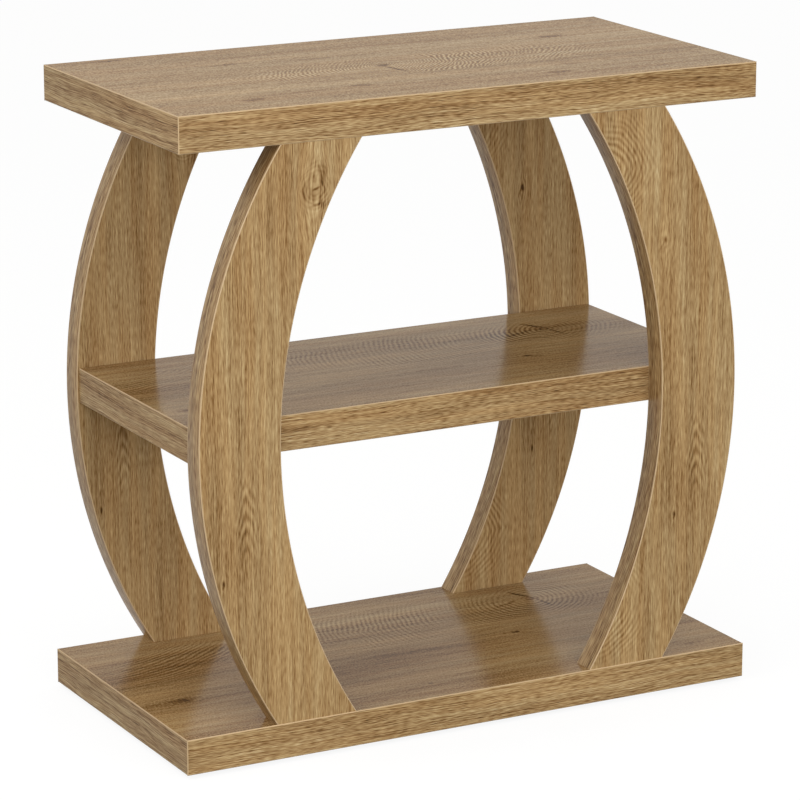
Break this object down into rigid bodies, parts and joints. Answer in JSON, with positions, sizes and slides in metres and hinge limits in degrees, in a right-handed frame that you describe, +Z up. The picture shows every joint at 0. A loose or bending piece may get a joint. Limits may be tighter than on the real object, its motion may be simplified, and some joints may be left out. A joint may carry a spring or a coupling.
{
  "type": "tiered side table",
  "caption": "Free-standing side table: a top board, a shelf and a base board carried by bowed flat legs, open on all sides.",
  "frame": {"origin": "on the floor under the middle of the table, level with the undersides of the glides", "axes": "+Z up, X along the length of the boards, +Y towards the back, so the front is at -Y"},
  "size_m": [0.6, 0.3, 0.614],
  "materials": {
    "faced_board": "oak decor paper on particle board, satin, grain along the board",
    "faced_leg": "oak decor paper on particle board, matt, grain upright",
    "board_edge_band": "printed oak edge band with brushed grain and a scraped pale arris",
    "leg_edge_band": "printed oak edge band bent round the leg, with a scraped pale arris",
    "plated_steel": "bright zinc plating",
    "cast_zinc": "die-cast zinc, tumbled",
    "beech_dowel": "turned beech, unfinished",
    "glide_plastic": "moulded dark brown plastic"
  },
  "bodies": {
    "root": {"top_board": "faced_board", "shelf_board": "faced_board", "base_board": "faced_board", "top_band_front": "board_edge_band", "top_band_back": "board_edge_band", "top_band_left": "board_edge_band", "top_band_right": "board_edge_band", "shelf_band_front": "board_edge_band", "shelf_band_back": "board_edge_band", "shelf_band_left": "board_edge_band", "shelf_band_right": "board_edge_band", "base_band_front": "board_edge_band", "base_band_back": "board_edge_band", "base_band_left": "board_edge_band", "base_band_right": "board_edge_band", "leg_front_left": "faced_leg", "leg_front_right": "faced_leg", "leg_back_left": "faced_leg", "leg_back_right": "faced_leg", "leg_front_left_outer_band": "leg_edge_band", "leg_front_left_inner_band": "leg_edge_band", "leg_front_right_outer_band": "leg_edge_band", "leg_front_right_inner_band": "leg_edge_band", "leg_back_left_outer_band": "leg_edge_band", "leg_back_left_inner_band": "leg_edge_band", "leg_back_right_outer_band": "leg_edge_band", "leg_back_right_inner_band": "leg_edge_band", "top_cam_bolts": "plated_steel", "shelf_cam_bolts": "plated_steel", "base_screws": "plated_steel", "glide_nails": "plated_steel", "top_cam_locks": "cast_zinc", "shelf_cam_locks": "cast_zinc", "top_dowels": "beech_dowel", "shelf_dowels": "beech_dowel", "base_dowels": "beech_dowel", "foot_glides": "glide_plastic"}
  },
  "joints": []
}
